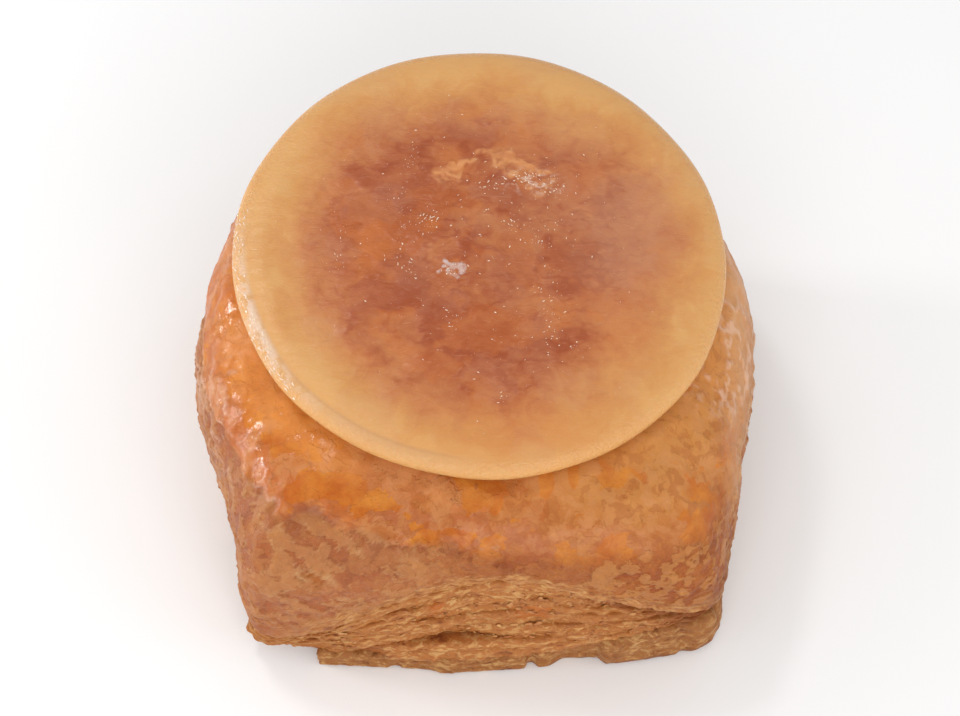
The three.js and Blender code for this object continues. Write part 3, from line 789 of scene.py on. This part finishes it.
matt_rough = node(tree, "MapRange", {0: fine, 1: 0.3, 2: 0.7, 3: 0.30, 4: 0.52})
glazed_rough = node(tree, "MapRange", {0: marks["wet"], 3: 0.34, 4: 0.07})
rough = node(tree, "Mix", {0: marks["glaze"], 2: matt_rough, 3: glazed_rough})
dryness = node(tree, "MapRange", {0: marks["glaze"], 3: 1.0, 4: 0.25})
grain = node(tree, "Math", {0: fine, 1: dryness}, operation="MULTIPLY")
peeled = node(tree, "Math", {0: cut["scab"], 1: cut["tongue"]}, operation="ADD")
peeled = node(tree, "Math", {0: peeled, 1: cut["cream"]}, operation="ADD")
below = {}
for source, strength, depth_mm in (
        (leaf_steps, 0.7, 0.8), (peeled, 0.6, 0.4), (small_steps, 0.55, 0.5), (grain, 0.5, 0.5)):
    relief = node(tree, "Bump", {
        "Height": source, "Strength": strength, "Distance": depth_mm * MM, **below})
    below = {"Normal": relief}
plug(tree, shader, {
    "Base Color": crust_colour, "Roughness": rough, "Normal": relief, "IOR": 1.45,
    "Specular IOR Level": 0.32, "Subsurface Weight": 0.12, "Subsurface Radius": (1.0, 0.4, 0.15),
    "Subsurface Scale": 0.8 * MM})
skin_piece("crust", smooth + normal * rise[..., None], crust_mat, "crust", **crust_marks)


# ---- The crumbs on the cut edge
# Crumbs and short splinters of the leaves, a few tenths of a millimetre across, that broke as the dough
# was cut and baked and still cling to the face of the pile.

CRUMBS = 1500
SCALE_RINGS = np.array([  # share of the reach, share of the thickness
    (0.5, 0.0), (0.9, 0.05), (1.0, 0.5), (0.85, 0.95), (0.45, 1.0)])[:, None, None, :]
SCALE_SPOKES = 8
SCALE_RIM = ((2, 0.22), (3, 0.16), (5, 0.10))  # waves round the rim, and the share of the reach of each


def on_grid(grid, row, step):
    """Points of a grid at fractional rows and steps: the four neighbours mixed by their shares."""
    row = np.clip(row, 0, grid.shape[0] - 1.001)
    low_row, low_step = np.floor(row).astype(int), np.floor(step).astype(int)
    down, beside = (row - low_row)[..., None], (step - low_step)[..., None]
    here, there = low_step % grid.shape[1], (low_step + 1) % grid.shape[1]
    upper = grid[low_row, here] * (1 - beside) + grid[low_row, there] * beside
    lower = grid[low_row + 1, here] * (1 - beside) + grid[low_row + 1, there] * beside
    return upper * (1 - down) + lower * down


def scales(grid, row, step, size, stretch, lift, curl, thickness, draw):
    """Thin irregular scales on a grid, one for each row and step given. A scale's rim is a circle with
    three sines added, drawn out and turned; it stands off by its lift and curls up to one side."""
    count = len(row)
    ahead = on_grid(grid, row, step + 0.5) - on_grid(grid, row, step - 0.5)
    up = on_grid(grid, row + 0.5, step) - on_grid(grid, row - 0.5, step)
    step_mm, row_mm = np.linalg.norm(ahead, axis=-1), np.linalg.norm(up, axis=-1)
    facing = np.cross(ahead, up)
    facing = facing / (np.linalg.norm(facing, axis=-1, keepdims=True) + 1e-9)
    ring, high = SCALE_RINGS[..., 0], SCALE_RINGS[..., 1]
    spoke = np.linspace(0, 2 * pi, SCALE_SPOKES, endpoint=False)[:, None]
    start = draw.uniform(0, 2 * pi, (len(SCALE_RIM) + 1, count))
    rim = 1 + sum(share * np.sin(k * spoke + start[at]) for at, (k, share) in enumerate(SCALE_RIM))
    out = size * rim * ring
    angle = draw.uniform(-0.5, 0.5, count)
    long_way, short_way = out * np.cos(spoke) * stretch, out * np.sin(spoke) / stretch
    run = long_way * np.cos(angle) - short_way * np.sin(angle)
    rise = long_way * np.sin(angle) + short_way * np.cos(angle)
    base = on_grid(grid, row + rise / row_mm, step + run / step_mm)
    off = lift + curl * ring**2 * (0.5 + 0.5 * np.cos(spoke + start[-1])) + thickness * high
    points = np.moveaxis(base + facing * off[..., None], 2, 0)
    return np.concatenate([points.reshape(count, -1, 3), points[:, :1].mean(2), points[:, -1:].mean(2)], 1)


def scale_faces(count):
    """The faces of all the scales: one scale's quads and triangles, moved on by its count of points."""
    rows = len(SCALE_RINGS)
    first = (np.arange(count) * (rows * SCALE_SPOKES + 2))[:, None, None]
    return ((grid_faces(rows, SCALE_SPOKES) + first).reshape(-1, 4),
            (pole_faces(rows, SCALE_SPOKES) + first).reshape(-1, 3))


# Dry crumb of wheat dough, straw to brown: each crumb has its own tone, mottled every 2 mm.
crumb_mat, tree, shader, marks = new_material("dry_dough_crumb", ["tone"])
where = node(tree, "TexCoord").outputs["Object"]
mottling = node(tree, "TexNoise", {"Vector": where, "Scale": 480.0, "Detail": 4.0, "Roughness": 0.6})
toned = node(tree, "Math", {0: mottling, 1: marks["tone"]}, operation="ADD")
crumb_tone = node(tree, "ValToRGB", {0: toned},
                  stops=[(0.30, "#925022"), (0.6, "#ad6b33"), (0.95, "#cc975a")])
plug(tree, shader, {
    "Base Color": crumb_tone, "Roughness": 0.42, "IOR": 1.45, "Subsurface Weight": 0.1,
    "Subsurface Radius": (1.0, 0.4, 0.15), "Subsurface Scale": 1.0 * MM})

draw = np.random.RandomState(401)
band_share = np.linspace(0.02, 0.98, 40)[:, None]
band = place(
    theta, pile_face(theta, band_share) - in_pockets(theta, band_share * LEAVES)[0] - 0.15,
    sheet_top(theta) + (lip_height(theta) - UNDER_LIP - sheet_top(theta)) * band_share)
crumb_points = scales(
    band, draw.uniform(1, 38, CRUMBS), draw.uniform(0, EDGE_STEPS, CRUMBS),
    size=0.14 + 0.5 * draw.uniform(0, 1, CRUMBS) ** 2, stretch=draw.uniform(0.9, 1.6, CRUMBS), lift=-0.05,
    curl=draw.uniform(0, 0.15, CRUMBS), thickness=0.16, draw=draw)
crumb_marks = np.repeat(draw.uniform(-0.05, 0.3, CRUMBS), crumb_points.shape[1])
new_piece("edge_crumbs", crumb_points.reshape(-1, 3), *scale_faces(CRUMBS), crumb_mat, "crust",
          tone=crumb_marks)


# ---- The custard round
# A round of set baked custard, cut or cast 4 to 5 mm thick and laid on the hot crown, then browned from
# above: its middle has caramelised and its rim has stayed pale, smooth and moist.

CUSTARD_RADIUS = 44.55
CUSTARD_RIM = 4.0
CUSTARD_CROWN = 1.2
CUSTARD_EDGE_WIDTH = 6.2
CUSTARD_EDGE_HEIGHT = 2.9
CUSTARD_STEPS, ARC_ROWS, TOP_ROWS = 520, 18, 150
UNDER_EDGE = np.array([  # inwards from the rim and up from the seat, in mm
    (30, 0.0), (6, 0.0), (2, 0.0), (0.9, 0.0), (0.4, 0.12), (0.1, 0.45), (0.0, 0.9)])
BROWN_SPOTS = (  # how strong, place on the top in mm, half sizes in mm
    (0.18, -14, -7, 6, 5), (0.15, 10, -19, 11, 3.5), (0.15, 7, -31, 9, 2.5), (0.12, 6, 11, 7, 3),
    (0.20, -17, 3, 7, 5), (0.10, 4, -14, 7, 4), (-0.12, 17, -13, 6, 4), (-0.10, 4, 19, 6, 5),
    (-0.08, 4, 29, 8, 4))
AMBER_SPOTS = (
    (0.9, -21, -2, 3.5, 7), (0.6, -5, 17, 3, 3), (0.8, 18, 15, 4, 4), (0.6, 12, -38, 20, 6),
    (0.5, 25, -14, 5, 8))
AMBER_BEAD = (1.0, -8.9, 3.7, 1.2, 1.5)
MILKY_SPOTS = ((1.0, 25, 0, 8, 12), (0.8, 28, 9, 7, 8))
PALE_ARC = dict(x=1.5, y=12.5, wide=8.5, high=6.5, thick=2.2)
PALE_TAIL = (0.8, 9, 14, 4, 1.8)
FLECK = (1.0, -5.2, -5.0, 2.4, 2.0)
GLINT_STREAKS = (1.0, 9.2, 14.0, 4.0, 2.2)

custard_theta = np.linspace(0, 2 * pi, CUSTARD_STEPS, endpoint=False)
all_round = np.ones(CUSTARD_STEPS)
arc = np.linspace(0, pi / 2, ARC_ROWS)[:, None]
round_out = CUSTARD_RADIUS + 0.3 * wander(custard_theta, 5)
top_share = np.linspace(1, 0, TOP_ROWS + 2)[1:-1, None]
radius = np.concatenate([
    round_out - UNDER_EDGE[:, :1],
    round_out - CUSTARD_EDGE_WIDTH * (1 - np.cos(arc)),
    (round_out - CUSTARD_EDGE_WIDTH) * top_share])
lift = np.concatenate([
    UNDER_EDGE[:, 1:] * all_round,
    (CUSTARD_RIM - CUSTARD_EDGE_HEIGHT * (1 - np.sin(arc))) * all_round,
    CUSTARD_RIM + CUSTARD_CROWN * (1 - top_share**2) ** 2 * all_round])
local = np.stack([radius * np.cos(custard_theta), radius * np.sin(custard_theta), lift], -1)
on_top = np.concatenate([
    np.zeros(len(UNDER_EDGE)), smooth_step(0, 1.2, arc.ravel()), np.ones(TOP_ROWS)])[:, None]


def spots(points, places):
    """Soft oval spots added up: how strong, times a bell along X and one along Y of its half sizes."""
    return sum(strong * bell(points[..., 0] - x, wide) * bell(points[..., 1] - y, high)
               for strong, x, y, wide, high in places)


def arc_line(points, x, y, wide, high, thick):
    """1 along the upper half of an oval line round a place, fading over its thickness in mm."""
    off_x, off_y = (points[..., 0] - x) / wide, (points[..., 1] - y) / high
    return bell((np.hypot(off_x, off_y) - 1) * min(wide, high), thick) * smooth_step(-0.4, 0.2, off_y)


# how browned, amber, milky and pale each place of the top is; the white fleck, and white streaks that are
# painted glints
top = local * (1, 1, 0)
ragged = shifted(top, 1.4, 4, 310)
away = np.hypot(top[..., 0] - 0.5, top[..., 1] - 0.5) + 2.4 * cloud(top, 17, 301, 2)
away = away + 1.0 * cloud(ragged, 5, 302, 3)
blotch = cloud(ragged * (0.8, 1.2, 1), 6.0, 303, 4)
streak = ridged(shifted(top, 0.8, 3, 312) * (0.45, 1.3, 1), 3.0, 304, 2)
browned = smooth_step(43.5, 21, away) * (0.82 + 0.13 * blotch + 0.20 * smooth_step(0.62, 0.9, streak))
browned = browned + spots(ragged, BROWN_SPOTS)
amber = spots(ragged, AMBER_SPOTS) + spots(top, [AMBER_BEAD])
amber = np.clip(amber + 0.4 * patches(ragged, 8, 305, 0.25, 0.5, 3) * smooth_step(38, 25, away), 0, 1)
milky = np.clip(spots(ragged, MILKY_SPOTS) + 0.3 * patches(ragged, 9, 306, 0.2, 0.5, 3), 0, 1)
torn_arc = shifted(top, 1.3, 2.5, 313)
swirl = np.clip(arc_line(torn_arc, **PALE_ARC) + spots(torn_arc, [PALE_TAIL]), 0, 1)
swirl = swirl * (0.75 + 0.5 * cloud(torn_arc * (0.6, 1.4, 1), 2.6, 307, 3))
fleck = smooth_step(0.34, 0.7, spots(top, [FLECK]) * (1 + 1.3 * cloud(top, 1.1, 314, 3)))
fleck = fleck * (0.65 + 0.5 * cloud(top, 0.9, 315, 2))
# white streaks at the right end of the pale swirl, painted as glints
white = smooth_step(0.55, 0.8, ridged(shifted(top, 0.5, 1.5, 316) * (0.6, 1.4, 1), 1.6, 317, 2))
glint_streaks = np.clip(white * spots(top, [GLINT_STREAKS]), 0, 1)
stand = (0.10 * cloud(top, 9, 308, 2) + smooth_step(42, 30, away) * (0.09 * blotch + 0.08 * streak)
         + 0.18 * swirl + 0.12 * fleck - 0.06 * np.clip(amber, 0, 0.5))

# the bevelled left rim with its groove, painted darker as shade in it, and painted glints on the rim
from_edge = round_out - radius
bevelled = smooth_step(1.02 * pi, 1.10 * pi, custard_theta) * smooth_step(1.52 * pi, 1.42 * pi, custard_theta)
# painted shade: the groove by the bevelled rim is painted darker
groove = bevelled * bell(from_edge - 2.6, 0.22) * on_top
# painted glints: a bright, broken band along the left rim where its highlight lies
painted_glints = bump(custard_theta, 1.12 * pi, 1.0, 0.36) * smooth_step(3.0, 1.6, from_edge) * on_top
painted_glints = painted_glints * patches(top, 1.4, 320, -0.6, 0.1, 3)
custard_marks = dict(
    browned=browned * on_top, amber=amber * on_top, milky=milky * on_top,
    pale=smooth_step(0.25, 1.0, swirl) * on_top, fleck=np.clip(fleck, 0, 1) * on_top,
    edge=smooth_step(3.5, 1.0, from_edge), bevel=bevelled * smooth_step(2.7, 2.4, from_edge) * on_top,
    groove=groove, painted_glints=np.maximum(painted_glints, 0.8 * glint_streaks))

local[..., 2] += stand * on_top * smooth_step(0, 3, from_edge) - 0.07 * groove
side_axis = np.cross((0, 1, 0), custard_up)
side_axis = side_axis / np.linalg.norm(side_axis)
custard_grid = CUSTARD_SEAT + local @ np.stack([side_axis, np.cross(custard_up, side_axis), custard_up])

# Set egg custard: smooth, moist and slightly translucent, cream at the rim and caramelised inwards.
# Its noises have cells of about 7 mm, 2 mm (streaks drawn out along X) and 0.7 mm.
custard_mat, tree, shader, marks = new_material("set_custard_browned", custard_marks)
where = node(tree, "TexCoord").outputs["Object"]
drawn_out = node(tree, "Mapping", {"Vector": where, "Scale": (0.5, 1.4, 1.0)})
broad = node(tree, "TexNoise", {
    "Vector": where, "Scale": 150.0, "Detail": 7.0, "Roughness": 0.65, "Distortion": 1.2})
streaks = node(tree, "TexNoise", {
    "Vector": drawn_out, "Scale": 600.0, "Detail": 5.0, "Roughness": 0.7, "Distortion": 1.6})
grit = node(tree, "TexNoise", {"Vector": where, "Scale": 1500.0, "Detail": 3.0, "Roughness": 0.6})
jitter = node(tree, "MapRange", {0: broad, 1: 0.3, 2: 0.7, 3: -0.16, 4: 0.16})
jitter_share = node(tree, "MapRange", {0: marks["browned"], 1: 0.0, 2: 0.5, 3: 0.45, 4: 0.95})
brown_sum = node(tree, "Math", {0: jitter, 1: jitter_share, 2: marks["browned"]},
                 operation="MULTIPLY_ADD")
brown_tone = node(tree, "ValToRGB", {0: brown_sum}, stops=[
    (0.0, "#dca666"), (0.15, "#d69858"), (0.42, "#c9824c"), (0.62, "#be7242"), (0.85, "#ad5b33"),
    (1.0, "#a34f29")])
custard_colour = painted(
    tree, brown_tone,
    ("#cd7430", marks["amber"], 0.65), ("#cc9878", marks["milky"], 0.36), ("#e09c62", marks["pale"], 0.8),
    ("#d6c2bc", marks["fleck"], 0.8), ("#cda27a", marks["bevel"], 0.45), ("#bd8450", marks["groove"], 0.5),
    ("#f2e3d6", marks["painted_glints"], 0.75))
for streak_hex, most, start, full in (("#98491f", 0.34, 0.42, 0.34), ("#d2946a", 0.28, 0.56, 0.68)):
    streaked = node(tree, "MapRange", {0: streaks, 1: start, 2: full, 3: 0.0, 4: most})
    on_brown = node(tree, "Math", {0: marks["browned"], 1: streaked}, operation="MULTIPLY")
    custard_colour = painted(tree, custard_colour, (streak_hex, on_brown, 1.0))
rough = node(tree, "MapRange", {0: streaks, 1: 0.3, 2: 0.7, 3: 0.14, 4: 0.30})
edge_grit = node(tree, "Math", {0: grit, 1: marks["edge"]}, operation="MULTIPLY")
skin_relief = node(tree, "Bump", {"Height": streaks, "Strength": 0.4, "Distance": 0.3 * MM})
relief = node(tree, "Bump", {
    "Height": edge_grit, "Normal": skin_relief, "Strength": 0.8, "Distance": 0.4 * MM})
plug(tree, shader, {
    "Base Color": custard_colour, "Roughness": rough, "Normal": relief, "IOR": 1.42,
    "Subsurface Weight": 0.3, "Subsurface Radius": (1.0, 0.55, 0.25), "Subsurface Scale": 3.0 * MM})
custard = skin_piece("custard", custard_grid, custard_mat, "custard", **custard_marks)
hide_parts("custard_round")


# ---- The glint specks
# Painted glints: pale glossy specks a fifth of a millimetre across. They gather in the dips of the browned
# skin, in clusters and broken lines, and as beads on the outer side of the left rim.

LOOSE_SPECKS, LOOSE_SPREAD, SPECKS_WITHIN = 240, 16, 38
SPECK_CLUSTERS = [  # place on the top in mm, spread along X and Y in mm, how many
    (-13.2, 18.5, 0.6, 3.5, 24), (-14.7, 3.5, 0.5, 3.5, 20), (-9.6, 5.5, 1.6, 1.8, 44),
    (1.5, 13.2, 1.5, 0.8, 28), (8, 15.2, 3.2, 0.9, 68), (13, 12.5, 2.5, 1.2, 44), (10.5, 2.5, 2.5, 2.8, 40),
    (6, 5, 1.2, 3.0, 20), (12.6, -15, 1.0, 4.0, 36), (-5.5, -15, 1.5, 1.5, 12), (-25, -1, 0.6, 3.0, 12),
    (3.7, -30, 0.5, 0.8, 8), (17, -20, 0.8, 0.5, 10), (-14, -4, 1.2, 1.6, 20), (-5.0, -5.2, 0.9, 0.7, 32)]
RIM_SPECKS, RIM_KNOTS = 330, 26
RIM_FROM, RIM_TO = radians(172), radians(220)
KNOT_SPREAD = 0.035

# Painted glints: a pale glossy tone on specks so small that each only reads as a bright point.
speck_mat, tree, shader, _ = new_material("pale_glint_speck")
plug(tree, shader, {"Base Color": linear("#f4dcc4"), "Roughness": 0.1, "IOR": 1.48})

draw = np.random.RandomState(501)
loose = draw.normal(0, LOOSE_SPREAD, (LOOSE_SPECKS, 2))
gathered = [draw.normal((x, y), (wide, high), (many, 2)) for x, y, wide, high, many in SPECK_CLUSTERS]
speck_x, speck_y = np.concatenate([loose] + gathered).T
inside = np.hypot(speck_x, speck_y) < SPECKS_WITHIN
speck_x, speck_y = speck_x[inside], speck_y[inside]
count = len(speck_x)
down_top = 1 - np.hypot(speck_x, speck_y) / (CUSTARD_RADIUS - CUSTARD_EDGE_WIDTH)
speck_row = len(UNDER_EDGE) + ARC_ROWS - 1 + down_top * (TOP_ROWS + 1)
speck_step = np.mod(np.arctan2(speck_y, speck_x), 2 * pi) / (2 * pi) * CUSTARD_STEPS
speck_points = scales(
    custard_grid, speck_row, speck_step, size=0.04 + 0.13 * draw.uniform(0, 1, count) ** 3,
    stretch=draw.uniform(0.9, 2.2, count), lift=-0.02, curl=0.0, thickness=0.09, draw=draw)
new_piece("glint_specks", speck_points.reshape(-1, 3), *scale_faces(count), speck_mat, "custard")

knots = draw.uniform(RIM_FROM, RIM_TO, RIM_KNOTS)
rim_angle = draw.choice(knots, RIM_SPECKS) + draw.normal(0, KNOT_SPREAD, RIM_SPECKS)
rim_row = len(UNDER_EDGE) + 1 + 8 * draw.uniform(0, 1, RIM_SPECKS)
rim_points = scales(
    custard_grid, rim_row, rim_angle / (2 * pi) * CUSTARD_STEPS,
    size=0.05 + 0.20 * draw.uniform(0, 1, RIM_SPECKS) ** 3, stretch=draw.uniform(1.0, 2.6, RIM_SPECKS),
    lift=-0.02, curl=0.0, thickness=0.08, draw=draw)
new_piece("rim_glint_specks", rim_points.reshape(-1, 3), *scale_faces(RIM_SPECKS), speck_mat, "custard")
